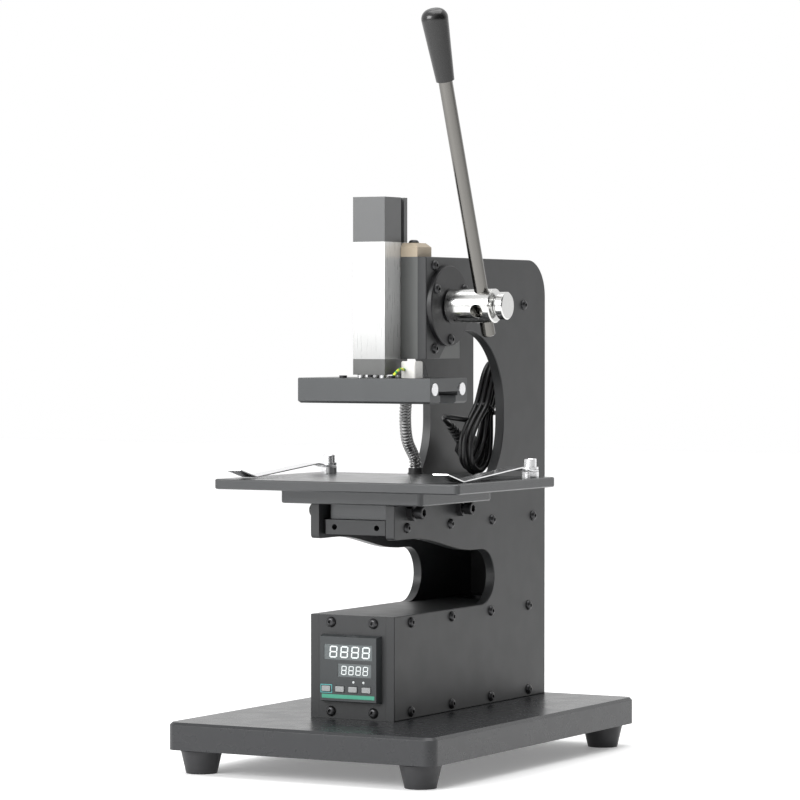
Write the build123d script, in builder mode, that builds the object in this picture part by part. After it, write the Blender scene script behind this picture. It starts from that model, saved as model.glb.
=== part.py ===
"""Tabletop hot-foil press: a base plate, two throat plates, a rack-and-pinion
head with a heated plate, a clamped work table and a built-in temperature
controller.  Millimetres; X to the right, Y to the back, Z up; the origin is on
the resting surface under the middle of the base."""
from build123d import *
import math
import os

os.makedirs("parts", exist_ok=True)

# ---------------------------------------------------------------- driving sizes
# Base and feet
BASE_W, BASE_L, BASE_T = 214.0, 320.0, 19.5
BASE_CORNER_R, BASE_EDGE = 8.0, 2.0
FOOT_H, FOOT_R_TOP, FOOT_R_BOTTOM = 17.0, 15.0, 11.0
FOOT_X, FOOT_Y, FOOT_SEAT = 88.0, 142.0, 9.0
BASE_TOP = FOOT_H + BASE_T

# Throat plates: two side plates held apart by spacers
GAP_HALF, PLATE_T = 27.25, 7.0
PLATE_OUT = GAP_HALF + PLATE_T
PLATE_FRONT, COLUMN_BACK = -82.0, 152.5
ARM_TOP, TABLE_ARM_TOP = 110.3, 188.5
LOWER_THROAT_R, LOWER_THROAT_Y = 20.5, 49.0
NOSE_Z, NOSE_Y, NOSE_R = 164.0, -58.0, 3.0
UPPER_THROAT_R, UPPER_THROAT_Y, THROAT_STRAIGHT = 56.5, 27.8, 10.0
HEAD_FRONT, HEAD_BOTTOM, HEAD_TOP = -35.5, 291.5, 364.5
LEFT_HEAD_FRONT, HEAD_CORNER = -19.5, 3.5
COLUMN_CORNER_R = 27.0
PLATE_EDGE = 0.5

# Spacers and covers between the plates
SPACER_T = 10.5
COVER_T = 4.0
SPACER_FRONT, SPACER_BACK = PLATE_FRONT + COVER_T, COLUMN_BACK - COVER_T
ARM_SPACER_Z, TABLE_SPACER_Z, TABLE_SPACER_FRONT = ARM_TOP - SPACER_T, 167.0, -77.5
SPACER_NOSE_CHAMFER = 3.0
WIRE_SLOT = (30.0, 30.0, 115.0)          # width, length, middle Y
DECK_Z, DECK_T, DECK_FRONT = 203.0, 2.0, 42.6
DECK_LIP_T, DECK_LIP_Z, DECK_FLANGE_Z, DECK_FLANGE_Y = 1.5, 178.0, 191.0, 68.0
COLUMN_SPACER_R = 7.0

# Frame screws (M4 button heads, all the same length)
M4_R, M4_HEAD_R, M4_HEAD_H, M4_LENGTH = 2.0, 3.8, 2.2, 16.0
M4_THREAD_R, M4_CLEAR_R, M4_DEPTH = 2.02, 2.15, 10.0
HEX_M4 = 2.5 / math.sqrt(3)
BASE_ROW_Z = BASE_TOP + SPACER_T / 2
ARM_ROW_Z = ARM_SPACER_Z + SPACER_T / 2
TABLE_ROW_Z = TABLE_SPACER_Z + SPACER_T / 2
LOW_ROW_Y = (-58.0, 3.0, 64.0, 125.0)
TABLE_ROW_Y = (-64.0, 1.0, 66.0, 132.0)
HEAD_SCREWS = ((-23.0, 358.4), (-23.0, 299.0))
LEFT_HEAD_SCREWS = ((-12.0, 357.5), (-13.0, 301.0))
COLUMN_SCREW = (116.6, 330.8)
COVER_SCREW_X, REAR_SCREW_X = 17.2, 12.0

# Base screws (M5 cap heads)
M5_R, M5_HEAD_R, M5_HEAD_H, M5_LENGTH = 2.5, 4.25, 5.0, 21.0
M5_THREAD_R, M5_CLEAR_R, M5_RECESS_R = 2.52, 2.75, 4.75
FRAME_BOLT_X, FRAME_BOLT_Y, FRAME_BOLT_SEAT = 17.0, (-45.0, 112.0), 24.0

# Work table
SLIDE_HALF, SLIDE_FRONT, SLIDE_BACK, SLIDE_Z = 23.4, -73.0, 22.0, 177.8
SUB_HALF, SUB_FRONT, SUB_BACK, SUB_Z = 57.5, -86.0, 21.6, 188.8
TABLE_HALF, TABLE_FRONT, TABLE_BACK, TABLE_Z, TABLE_TOP = 99.0, -109.0, 42.0, 198.7, 205.9
TABLE_CORNER_R, TABLE_EDGE = 4.0, 0.8
CLAMP_Y, CLAMP_Z, CLAMP_R = (-60.0, 14.0), 183.0, 3.0
CLAMP_TIP, CLAMP_HEAD, CLAMP_END, CLAMP_HEAD_R = 23.7, 40.0, 46.0, 4.5
CLAMP_NUT_T, CLAMP_NUT_AF = 4.0, 10.0

# Spring clips on the table
CLIP_X, CLIP_BOLT_Y, CLIP_W, CLIP_T = 84.0, 30.0, 12.0, 0.8
CLIP_LINE = ((36.0, 210.7), (24.0, 210.7), (5.0, 213.6), (-83.0, 206.8), (-106.0, 212.5))
CLIP_BEND_R = (10.0, 12.0, 8.0)
CLIP_SPACER_R, CLIP_SPACER_H = 6.25, 4.1
CLIP_WASHER_Z, CLIP_HEAD_Z, CLIP_HEAD_TOP = 211.4, 213.4, 219.4
CLIP_WASHER_R, CLIP_HEAD_R, CLIP_SHANK_R, CLIP_HOLE_R = 6.0, 4.6, 2.0, 2.3

# Head: guide block, ram, rack and pinion
HEAD_BACK = 28.0
RAM_HALF, RAM_FRONT, RAM_BACK, RAM_TOP, RAM_CAP_TOP = 13.0, -58.0, -25.0, 375.0, 407.0
CHANNEL_GAP = 0.3
GROOVE_Y, GROOVE_W, GROOVE_D = -32.0, 4.6, 3.0
GIB_W, GIB_IN, GIB_OUT = 4.0, 10.3, 16.3
WIPER_HALF, WIPER_BACK, WIPER_T, WIPER_CHAMFER = 27.0, -14.5, 10.0, 3.0
WIPER_SCREW = (20.0, -28.0)
AXLE_Y, AXLE_Z = -6.0, 329.5
MODULE, PINION_TEETH = 1.5, 28
PINION_R = MODULE * PINION_TEETH / 2
PITCH = math.pi * MODULE
PINION_ADD, PINION_DED, PINION_TOOTH, PINION_HALF = 1.2, 1.9, 1.9, 7.5
RACK_ADD, RACK_DED, RACK_TOOTH, RACK_HALF = 1.5, 1.9, 2.1, 8.0
FLANK = math.tan(math.radians(20))
RACK_BOTTOM, RACK_TOP, RACK_SEAT, RACK_TEETH = 298.0, 374.5, -31.0, range(-6, 9)
CAVITY_R, CAVITY_HALF = 23.5, 9.0
SHAFT_R, SHAFT_END, SHAFT_CLEAR_R = 7.0, 58.0, 7.5
BUSH_R, BUSH_BORE_R = 9.0, 7.02
FLANGE_R, FLANGE_T, SPIGOT_R, FLANGE_SCREW_R = 29.0, 4.0, 13.0, 24.0
FLANGE_FACE = PLATE_OUT + FLANGE_T

# Lever
HUB_R, HUB_IN, HUB_OUT, ROD_X, ROD_R = 12.25, 38.75, 75.0, 65.0, 5.0
LEVER_LEAN = 20.2                        # degrees ahead of straight up
ROD_TAIL, ROD_TIP = -22.5, 200.0
GRIP_START, GRIP_END, GRIP_R_LOW, GRIP_R_TOP = 168.0, 220.0, 6.5, 10.0
GRIP_DOME = 7.0
KNOB_STUD_R, KNOB_NECK_R, KNOB_R = 4.0, 6.0, 9.9
KNOB_TIP, KNOB_NECK, KNOB_DISC, KNOB_END = 70.3, 75.3, 78.5, 84.5

# Heated plate under the ram
FOOT_BLOCK_Z, HEATER_TOP, HEATER_Z = 280.3, 278.0, 260.0
HEATER_HALF, HEATER_FRONT, HEATER_BACK, HEATER_CHAMFER = 54.0, -66.0, -11.0, 1.5
SLOT_Y, SLOT_NECK, SLOT_WIDE, SLOT_NECK_Z, SLOT_TOP_Z = -39.5, 11.6, 14.2, 265.7, 268.6
CARTRIDGE_Y, CARTRIDGE_Z, CARTRIDGE_R, CARTRIDGE_OUT = (-60.0, -19.0), 270.2, 4.5, 0.8
STANDOFFS = ((9.0, -53.0), (9.0, -30.0))
STANDOFF_R, STUD_R, STUD_REACH = 3.0, 1.5, 6.0
FOOT_SCREW_Y, FOOT_SCREW_RECESS, FOOT_SCREW_LENGTH = (-50.0, -38.0), 5.0, 18.0
RETAINER_X, RETAINER_R, RETAINER_HEAD_R, RETAINER_H, RETAINER_LENGTH = 20.0, 1.5, 2.8, 1.8, 3.0
TERMINAL = (24.0, -38.0, 12.0, 12.0, 12.0)   # middle X and Y, width, depth, height
FERRULE_X, FERRULE_Z, FERRULE_R, FERRULE_END = -4.0, 269.0, 6.0, -3.0

# Flexible conduit from the deck to the heated plate
CONDUIT_R = 4.5
CONDUIT_GLAND = (-21.0, 48.8)
CONDUIT_GLAND_R, CONDUIT_GLAND_TOP = 5.8, 210.0
CONDUIT_ROUTE = [
    (-4.0, -2.9, 269.0), (-4.0, 4.0, 269.0), (-7.0, 10.5, 263.5), (-11.0, 15.5, 254.5),
    (-14.5, 21.5, 245.0), (-17.5, 28.0, 236.0), (-19.8, 35.0, 228.5), (-21.0, 43.0, 222.5),
    (-21.0, 48.8, 216.5), (-21.0, 48.8, 210.0),
]

# Temperature controller in the lower arm
CTRL_Z, CTRL_BODY, CTRL_BACK = 72.5, 44.5, -2.0
BEZEL_BACK_W, BEZEL_FRONT_W, BEZEL_T, CTRL_CUTOUT = 48.0, 45.6, 6.0, 45.2
BEZEL_FACE = PLATE_FRONT - BEZEL_T
WINDOW_UPPER = (0.0, 12.0, 39.0, 11.0)       # middle X, height above the bezel's middle, size
WINDOW_LOWER = (5.2, -0.75, 27.0, 9.5)
WINDOW_DEPTH, WINDOW_T = 1.0, 0.8
BUTTON_X, BUTTON_DZ, BUTTON_W, BUTTON_H = (-17.7, -6.6, 4.0, 14.9), -14.2, 7.0, 4.0
BUTTON_PROUD, BUTTON_GAP, BUTTON_BACK, BUTTON_WELL = 0.8, 0.3, -84.0, -83.1
BUTTON_NAMES = ("button_set", "button_shift", "button_down", "button_up")

# Mains cord: lead, tied hank, tail and plug
CORD_R = 2.0
CABLE_GLAND_X, CABLE_GLAND_Y, CABLE_GLAND_R, CABLE_GLAND_TOP = 13.0, 121.0, 7.5, 226.0
LEAD_ROUTE = [
    (13.0, 121.0, 226.0), (13.0, 121.5, 239.0), (12.5, 119.5, 253.0), (12.0, 114.0, 266.0),
]
TAIL_ROUTE = [
    (10.0, 91.0, 248.0), (7.0, 80.0, 245.0), (3.0, 69.0, 246.5), (-2.5, 61.5, 248.0),
    (-6.5, 66.0, 246.5), (-7.0, 76.0, 241.5),
]
HANK_X, HANK_W = 5.5, 13.0
HANK_LOBES = (((80.0, 222.5), 19.0), ((97.0, 253.0), 8.0), ((117.0, 281.0), 13.0))
PLUG_DIR = Vector(0, 0.86, -0.51).normalized()
RELIEF_L, RELIEF_R0, RELIEF_R1 = 26.0, 2.6, 5.0
PLUG_L, PLUG_W, PLUG_H, PLUG_CORNER = 26.0, 16.0, 20.0, 3.0
BLADE_L, BLADE_W, BLADE_T, BLADE_X = 16.0, 6.3, 1.5, 6.35


# -------------------------------------------------------------------- helpers
def side_planes(x, points):
    """Planes at X = x, facing away from the middle, one for each (Y, Z)."""
    side = math.copysign(1, x)
    return [Plane(origin=(x, y, z), z_dir=(side, 0, 0)) for y, z in points]


def both_sides(x, points):
    return side_planes(x, points) + side_planes(-x, points)


def front_planes(y, points):
    """Planes at one Y, facing the front, one for each (X, Z)."""
    return [Plane(origin=(x, y, z), z_dir=(0, -1, 0)) for x, z in points]


def back_planes(y, points):
    return [Plane(origin=(x, y, z), z_dir=(0, 1, 0)) for x, z in points]


def button_screw():
    """M4 button-head screw, head above Z = 0 and shank below it."""
    with BuildPart() as screw:
        with BuildSketch(Plane.XZ):
            with BuildLine():
                Polyline((1.7, M4_HEAD_H), (0, M4_HEAD_H), (0, -M4_LENGTH), (M4_R, -M4_LENGTH),
                         (M4_R, 0), (M4_HEAD_R, 0), (M4_HEAD_R, 0.3))
                ThreePointArc((M4_HEAD_R, 0.3), (3.05, 1.6), (1.7, M4_HEAD_H))
            make_face()
        revolve(axis=Axis.Z)
        with BuildSketch(Plane.XY.offset(M4_HEAD_H)):
            RegularPolygon(HEX_M4, 6)
        extrude(amount=-1.4, mode=Mode.SUBTRACT)
    return screw.part


def cap_screw(radius, head_r, head_h, length, socket_af):
    """Socket cap screw, head above Z = 0 and shank below it."""
    with BuildPart() as screw:
        Cylinder(radius, length, align=(Align.CENTER, Align.CENTER, Align.MAX))
        Cylinder(head_r, head_h, align=(Align.CENTER, Align.CENTER, Align.MIN))
        chamfer(screw.edges().filter_by(GeomType.CIRCLE).sort_by(Axis.Z)[-1], 0.4)
        with BuildSketch(Plane.XY.offset(head_h)):
            RegularPolygon(socket_af / math.sqrt(3), 6)
        extrude(amount=-head_h * 0.55, mode=Mode.SUBTRACT)
    return screw.part


def route_radii(points):
    """The largest arc each corner's shorter run allows: 0.45 of it over tan(half the turn)."""
    radii = []
    for before, at, after in zip(points, points[1:], points[2:]):
        run_in, run_out = Vector(at) - Vector(before), Vector(after) - Vector(at)
        turn = math.radians(run_in.get_angle(run_out))
        radii.append(0.45 * min(run_in.length, run_out.length) / math.tan(turn / 2))
    return radii


def tube(name, points, radius):
    """A round tube along straight runs joined by tangent arcs."""
    radii = route_radii(points)
    with BuildPart() as result:
        with BuildLine() as route:
            FilletPolyline(*points, radius=radii)
        with BuildSketch(Plane(origin=points[0], z_dir=Vector(points[1]) - Vector(points[0]))):
            Circle(radius)
        sweep()
    length = route.wires()[0].length
    expected = math.pi * radius ** 2 * length
    print(name, "radii", [round(r, 1) for r in radii], "length", round(length, 1),
          "volume over section x length", round(result.part.volume / expected, 4))
    return result.part


parts = {}


def finish(name, builder):
    """Labels a finished piece and keeps it for export under its node name."""
    builder.part.label = name
    parts[name] = builder.part


# ------------------------------------------------------------- base and feet
with BuildPart() as foot:
    with BuildSketch(Plane.XZ):
        with BuildLine():
            Polyline((M5_CLEAR_R, FOOT_H), (FOOT_R_TOP, FOOT_H), (FOOT_R_BOTTOM, 0),
                     (M5_RECESS_R, 0), (M5_RECESS_R, FOOT_SEAT), (M5_CLEAR_R, FOOT_SEAT), close=True)
        make_face()
    revolve(axis=Axis.Z)
    fillet(foot.edges().filter_by(GeomType.CIRCLE).group_by(SortBy.RADIUS)[-1], 1.0)

with BuildPart() as rubber_feet:
    with GridLocations(2 * FOOT_X, 2 * FOOT_Y, 2, 2):
        add(foot.part)
finish("rubber_feet", rubber_feet)

FRAME_BOLTS = [(x, y) for x in (-FRAME_BOLT_X, FRAME_BOLT_X) for y in FRAME_BOLT_Y]

with BuildPart() as base_plate:
    with BuildSketch(Plane.XY.offset(FOOT_H)):
        RectangleRounded(BASE_W, BASE_L, BASE_CORNER_R)
    extrude(amount=BASE_T)
    chamfer(base_plate.edges().group_by(Axis.Z)[-1], BASE_EDGE)
    underside = Plane(origin=(0, 0, FOOT_H), x_dir=(1, 0, 0), z_dir=(0, 0, -1))
    with Locations(underside):
        with GridLocations(2 * FOOT_X, 2 * FOOT_Y, 2, 2):
            Hole(M5_THREAD_R, M5_LENGTH - (FOOT_H - FOOT_SEAT) + 1)
    with Locations(*[(x, y, BASE_TOP) for x, y in FRAME_BOLTS]):
        Hole(M5_CLEAR_R)
    with Locations(*[Plane(origin=(x, y, FOOT_H), z_dir=(0, 0, -1)) for x, y in FRAME_BOLTS]):
        Hole(M5_RECESS_R, FRAME_BOLT_SEAT - FOOT_H)
finish("base_plate", base_plate)

base_screw = cap_screw(M5_R, M5_HEAD_R, M5_HEAD_H, M5_LENGTH, 4.0)
with BuildPart() as base_screws:
    seats = [(x, y, FOOT_SEAT) for x in (-FOOT_X, FOOT_X) for y in (-FOOT_Y, FOOT_Y)]
    seats += [(x, y, FRAME_BOLT_SEAT) for x, y in FRAME_BOLTS]
    with Locations(*[Plane(origin=seat, z_dir=(0, 0, -1)) for seat in seats]):
        add(base_screw)
finish("base_screws", base_screws)

# --------------------------------------------------------------- side plates
FRAME_ROWS = [(y, BASE_ROW_Z) for y in LOW_ROW_Y] + [(y, ARM_ROW_Z) for y in LOW_ROW_Y]
FRAME_ROWS += [(y, TABLE_ROW_Z) for y in TABLE_ROW_Y] + [COLUMN_SCREW]
RIGHT_ROWS = FRAME_ROWS + list(HEAD_SCREWS)
LEFT_ROWS = FRAME_ROWS + list(LEFT_HEAD_SCREWS)
FLANGE_SCREWS = [
    (AXLE_Y + FLANGE_SCREW_R * math.cos(math.radians(a)),
     AXLE_Z + FLANGE_SCREW_R * math.sin(math.radians(a)))
    for a in (30, 150, 270)
]
CLAMP_POINTS = [(y, CLAMP_Z) for y in CLAMP_Y]

lower_throat_top = ARM_TOP + 2 * LOWER_THROAT_R
upper_throat_low = TABLE_ARM_TOP + UPPER_THROAT_R
upper_throat_high = upper_throat_low + THROAT_STRAIGHT
head_angle = 180 - math.degrees(math.asin((HEAD_BOTTOM - upper_throat_high) / UPPER_THROAT_R))
head_arc_end = (UPPER_THROAT_Y + UPPER_THROAT_R * math.cos(math.radians(head_angle)), HEAD_BOTTOM)

with BuildPart() as plate_blank:
    with BuildSketch(Plane.YZ.offset(GAP_HALF)):
        with BuildLine():
            Polyline((COLUMN_BACK, HEAD_TOP - COLUMN_CORNER_R), (COLUMN_BACK, BASE_TOP),
                     (PLATE_FRONT, BASE_TOP), (PLATE_FRONT, ARM_TOP), (LOWER_THROAT_Y, ARM_TOP))
            CenterArc((LOWER_THROAT_Y, ARM_TOP + LOWER_THROAT_R), LOWER_THROAT_R, -90, 180)
            Line((LOWER_THROAT_Y, lower_throat_top), (LOWER_THROAT_Y - 9, lower_throat_top))
            Spline((LOWER_THROAT_Y - 9, lower_throat_top), (NOSE_Y, NOSE_Z), tangents=[(-1, 0), (-1, 0)])
            Line((NOSE_Y, NOSE_Z), (PLATE_FRONT + NOSE_R, NOSE_Z))
            CenterArc((PLATE_FRONT + NOSE_R, NOSE_Z + NOSE_R), NOSE_R, 270, -90)
            Polyline((PLATE_FRONT, NOSE_Z + NOSE_R), (PLATE_FRONT, TABLE_ARM_TOP),
                     (UPPER_THROAT_Y, TABLE_ARM_TOP))
            CenterArc((UPPER_THROAT_Y, upper_throat_low), UPPER_THROAT_R, -90, 90)
            Line((UPPER_THROAT_Y + UPPER_THROAT_R, upper_throat_low),
                 (UPPER_THROAT_Y + UPPER_THROAT_R, upper_throat_high))
            CenterArc((UPPER_THROAT_Y, upper_throat_high), UPPER_THROAT_R, 0, head_angle)
            Polyline(head_arc_end, (HEAD_FRONT, HEAD_BOTTOM), (HEAD_FRONT, HEAD_TOP),
                     (COLUMN_BACK - COLUMN_CORNER_R, HEAD_TOP))
            CenterArc((COLUMN_BACK - COLUMN_CORNER_R, HEAD_TOP - COLUMN_CORNER_R),
                      COLUMN_CORNER_R, 90, -90)
        make_face()
    extrude(amount=PLATE_T)
    chamfer(plate_blank.faces().sort_by(Axis.X)[-1].outer_wire().edges(), PLATE_EDGE)

with BuildPart() as side_plate_right:
    add(plate_blank.part)
    with Locations(*side_planes(PLATE_OUT, RIGHT_ROWS + FLANGE_SCREWS)):
        Hole(M4_CLEAR_R, PLATE_T)
    with Locations(*side_planes(PLATE_OUT, CLAMP_POINTS)):
        Hole(CLAMP_R + 0.03, PLATE_T)
    with Locations(*side_planes(PLATE_OUT, [(AXLE_Y, AXLE_Z)])):
        Hole(SPIGOT_R, PLATE_T)
finish("side_plate_right", side_plate_right)

# The left plate's head is set back from the ram, and its bearing is a flush ring.
with BuildPart() as side_plate_left:
    mirror(plate_blank.part, about=Plane.YZ)
    with BuildSketch(Plane.YZ.offset(-PLATE_OUT)):
        with Locations(((HEAD_FRONT + LEFT_HEAD_FRONT) / 2, (HEAD_BOTTOM + HEAD_TOP) / 2)):
            Rectangle(LEFT_HEAD_FRONT - HEAD_FRONT, HEAD_TOP - HEAD_BOTTOM)
    extrude(amount=PLATE_T, mode=Mode.SUBTRACT)
    with Locations(*side_planes(-PLATE_OUT, LEFT_ROWS)):
        Hole(M4_CLEAR_R, PLATE_T)
    with Locations(*side_planes(-PLATE_OUT, CLAMP_POINTS)):
        Hole(CLAMP_R + 0.03, PLATE_T)
    with Locations(*side_planes(-PLATE_OUT, [(AXLE_Y, AXLE_Z)])):
        Hole(SPIGOT_R, PLATE_T)
finish("side_plate_left", side_plate_left)


# ------------------------------------------------------- spacers and covers
def spacer(z, front, side_y, nose=0.0, slot=True):
    """A flat bar that fills the gap between the plates, tapped along both long sides."""
    row = z + SPACER_T / 2
    length = SPACER_BACK - front
    with BuildPart() as bar:
        with BuildSketch(Plane.XY.offset(z)) as outline:
            with Locations((0, front + length / 2)):
                Rectangle(2 * GAP_HALF, length)
            if nose:
                chamfer(outline.vertices().group_by(Axis.Y)[0], nose)
            if slot:
                with Locations((0, WIRE_SLOT[2])):
                    RectangleRounded(WIRE_SLOT[0], WIRE_SLOT[1], 4, mode=Mode.SUBTRACT)
        extrude(amount=SPACER_T)
        with Locations(*both_sides(GAP_HALF, [(y, row) for y in side_y])):
            Hole(M4_THREAD_R, M4_DEPTH)
        with Locations(*back_planes(SPACER_BACK, [(-REAR_SCREW_X, row), (REAR_SCREW_X, row)])):
            Hole(M4_THREAD_R, M4_LENGTH - COVER_T + 0.5)
        with Locations(*front_planes(front, [(-COVER_SCREW_X, row), (COVER_SCREW_X, row)])):
            Hole(M4_THREAD_R, M4_LENGTH - COVER_T + 0.5 if not nose else M4_DEPTH)
    return bar.part


with BuildPart() as bottom_spacer:
    add(spacer(BASE_TOP, SPACER_FRONT, LOW_ROW_Y, slot=False))
    with Locations(*[Plane(origin=(x, y, BASE_TOP), z_dir=(0, 0, -1)) for x, y in FRAME_BOLTS]):
        Hole(M5_THREAD_R, SPACER_T - 1.5)
finish("bottom_spacer", bottom_spacer)

with BuildPart() as arm_spacer:
    add(spacer(ARM_SPACER_Z, SPACER_FRONT, LOW_ROW_Y))
finish("arm_spacer", arm_spacer)

with BuildPart() as table_spacer:
    add(spacer(TABLE_SPACER_Z, TABLE_SPACER_FRONT, TABLE_ROW_Y, nose=SPACER_NOSE_CHAMFER))
finish("table_spacer", table_spacer)

with BuildPart() as column_spacer:
    with BuildSketch(Plane.YZ.offset(-GAP_HALF)):
        with Locations(COLUMN_SCREW):
            Circle(COLUMN_SPACER_R)
    extrude(amount=2 * GAP_HALF)
    with Locations(*both_sides(GAP_HALF, [COLUMN_SCREW])):
        Hole(M4_THREAD_R, M4_DEPTH)
finish("column_spacer", column_spacer)


def cover(y, direction, top, screw_x, rows):
    """A flat cover plate across the gap, with a pair of screw holes at each height."""
    with BuildPart() as plate:
        with BuildSketch(Plane(origin=(0, y, 0), x_dir=(1, 0, 0), z_dir=(0, -1, 0))):
            with Locations((0, (BASE_TOP + top) / 2)):
                Rectangle(2 * GAP_HALF, top - BASE_TOP)
            with Locations(*[(x, row) for x in (-screw_x, screw_x) for row in rows]):
                Circle(M4_CLEAR_R, mode=Mode.SUBTRACT)
        extrude(amount=direction * COVER_T)
    return plate.part


with BuildPart() as front_cover:
    add(cover(PLATE_FRONT, -1, ARM_TOP, COVER_SCREW_X, (BASE_ROW_Z, ARM_ROW_Z)))
    with BuildSketch(Plane(origin=(0, PLATE_FRONT, CTRL_Z), x_dir=(1, 0, 0), z_dir=(0, -1, 0))):
        Rectangle(CTRL_CUTOUT, CTRL_CUTOUT)
    extrude(amount=-COVER_T, mode=Mode.SUBTRACT)
finish("front_cover", front_cover)

with BuildPart() as rear_cover:
    add(cover(COLUMN_BACK, 1, DECK_Z, REAR_SCREW_X, (BASE_ROW_Z, TABLE_ROW_Z)))
finish("rear_cover", rear_cover)

deck_length = SPACER_BACK - DECK_FRONT
flange_length = SPACER_BACK - DECK_FLANGE_Y
with BuildPart() as deck_cover:
    with BuildSketch(Plane.XY.offset(DECK_Z - DECK_T)):
        with Locations((0, DECK_FRONT + deck_length / 2)):
            Rectangle(2 * GAP_HALF, deck_length)
    extrude(amount=DECK_T)
    with BuildSketch(Plane.XY.offset(DECK_LIP_Z)):
        with Locations((0, DECK_FRONT + DECK_LIP_T / 2)):
            Rectangle(2 * GAP_HALF, DECK_LIP_T)
    extrude(amount=DECK_Z - DECK_LIP_Z)
    with BuildSketch(Plane.XY.offset(DECK_FLANGE_Z)):
        with Locations((0, DECK_FLANGE_Y + flange_length / 2)):
            with GridLocations(2 * GAP_HALF - DECK_LIP_T, 0, 2, 1):
                Rectangle(DECK_LIP_T, flange_length)
    extrude(amount=DECK_Z - DECK_FLANGE_Z)
    with Locations((*CONDUIT_GLAND, DECK_Z), (CABLE_GLAND_X, CABLE_GLAND_Y, DECK_Z)):
        Hole(CONDUIT_R + 0.05, 2 * DECK_T)
finish("deck_cover", deck_cover)

m4_button = button_screw()
with BuildPart() as frame_screws:
    cover_rows = [(x, z) for x in (-COVER_SCREW_X, COVER_SCREW_X) for z in (BASE_ROW_Z, ARM_ROW_Z)]
    rear_rows = [(x, z) for x in (-REAR_SCREW_X, REAR_SCREW_X) for z in (BASE_ROW_Z, TABLE_ROW_Z)]
    seats = side_planes(PLATE_OUT, RIGHT_ROWS) + side_planes(-PLATE_OUT, LEFT_ROWS)
    seats += side_planes(FLANGE_FACE, FLANGE_SCREWS)
    seats += front_planes(PLATE_FRONT, cover_rows) + back_planes(COLUMN_BACK, rear_rows)
    seats += [Plane(origin=(x, WIPER_SCREW[1], HEAD_TOP + WIPER_T), z_dir=(0, 0, 1))
              for x in (-WIPER_SCREW[0], WIPER_SCREW[0])]
    with Locations(*seats):
        add(m4_button)
finish("frame_screws", frame_screws)

# ------------------------------------------------------------ table and clamps
def slab(half, front, back, z, height, corner):
    """A rectangular plate with rounded upright corners."""
    with BuildPart() as plate:
        with BuildSketch(Plane.XY.offset(z)):
            with Locations((0, (front + back) / 2)):
                RectangleRounded(2 * half, back - front, corner)
        extrude(amount=height)
    return plate.part


with BuildPart() as table_slide:
    add(slab(SLIDE_HALF, SLIDE_FRONT, SLIDE_BACK, SLIDE_Z, SUB_Z - SLIDE_Z, 1.0))
finish("table_slide", table_slide)

with BuildPart() as sub_plate:
    add(slab(SUB_HALF, SUB_FRONT, SUB_BACK, SUB_Z, TABLE_Z - SUB_Z, TABLE_CORNER_R))
    chamfer(sub_plate.edges().group_by(Axis.Z)[0], TABLE_EDGE)
finish("sub_plate", sub_plate)

CLIP_BOLTS = [(-CLIP_X, CLIP_BOLT_Y), (CLIP_X, CLIP_BOLT_Y)]
with BuildPart() as table_plate:
    add(slab(TABLE_HALF, TABLE_FRONT, TABLE_BACK, TABLE_Z, TABLE_TOP - TABLE_Z, TABLE_CORNER_R))
    chamfer(table_plate.edges().group_by(Axis.Z)[-1], TABLE_EDGE)
    chamfer(table_plate.edges().group_by(Axis.Z)[0], TABLE_EDGE)
    with Locations(*[(x, y, TABLE_TOP) for x, y in CLIP_BOLTS]):
        Hole(CLIP_SHANK_R + 0.02)
finish("table_plate", table_plate)

with BuildPart() as clamp_bolt:
    Cylinder(CLAMP_R, CLAMP_HEAD - CLAMP_TIP, align=(Align.CENTER, Align.CENTER, Align.MAX))
    Cylinder(CLAMP_HEAD_R, CLAMP_END - CLAMP_HEAD, align=(Align.CENTER, Align.CENTER, Align.MIN))
    chamfer(clamp_bolt.edges().filter_by(GeomType.CIRCLE).sort_by(Axis.Z)[-1], 0.5)
    with BuildSketch(Plane.XY.offset(CLAMP_END - CLAMP_HEAD)):
        RegularPolygon(5.0 / math.sqrt(3), 6)
    extrude(amount=-3.0, mode=Mode.SUBTRACT)
with BuildPart() as clamp_bolts:
    with Locations(*both_sides(CLAMP_HEAD, CLAMP_POINTS)):
        add(clamp_bolt.part)
finish("clamp_bolts", clamp_bolts)

with BuildPart() as clamp_nut:
    with BuildSketch():
        RegularPolygon(CLAMP_NUT_AF / math.sqrt(3), 6)
        Circle(CLAMP_R + 0.02, mode=Mode.SUBTRACT)
    extrude(amount=CLAMP_NUT_T)
with BuildPart() as clamp_nuts:
    with Locations(*both_sides(PLATE_OUT, CLAMP_POINTS)):
        add(clamp_nut.part)
finish("clamp_nuts", clamp_nuts)


# ------------------------------------------------------------- spring clips
def clip(x):
    """A bent steel strip, pivoted on its bolt, that presses on the table."""
    with BuildPart() as strip:
        with BuildSketch(Plane.YZ.offset(x - CLIP_W / 2)):
            with BuildLine():
                FilletPolyline(*CLIP_LINE, radius=CLIP_BEND_R)
            trace(line_width=CLIP_T)
        extrude(amount=CLIP_W)
        with Locations((x, CLIP_BOLT_Y, CLIP_HEAD_Z)):
            Hole(CLIP_HOLE_R)
        ends = strip.edges().filter_by(Axis.Z).group_by(Axis.Y)
        fillet(ends[-1], CLIP_W / 2 - 0.5)
    return strip


finish("clip_left", clip(-CLIP_X))
finish("clip_right", clip(CLIP_X))

with BuildPart() as clip_spacers:
    with BuildSketch(Plane.XY.offset(TABLE_TOP)):
        with Locations(*CLIP_BOLTS):
            Circle(CLIP_SPACER_R)
            Circle(CLIP_SHANK_R + 0.02, mode=Mode.SUBTRACT)
    extrude(amount=CLIP_SPACER_H)
finish("clip_spacers", clip_spacers)

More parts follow.
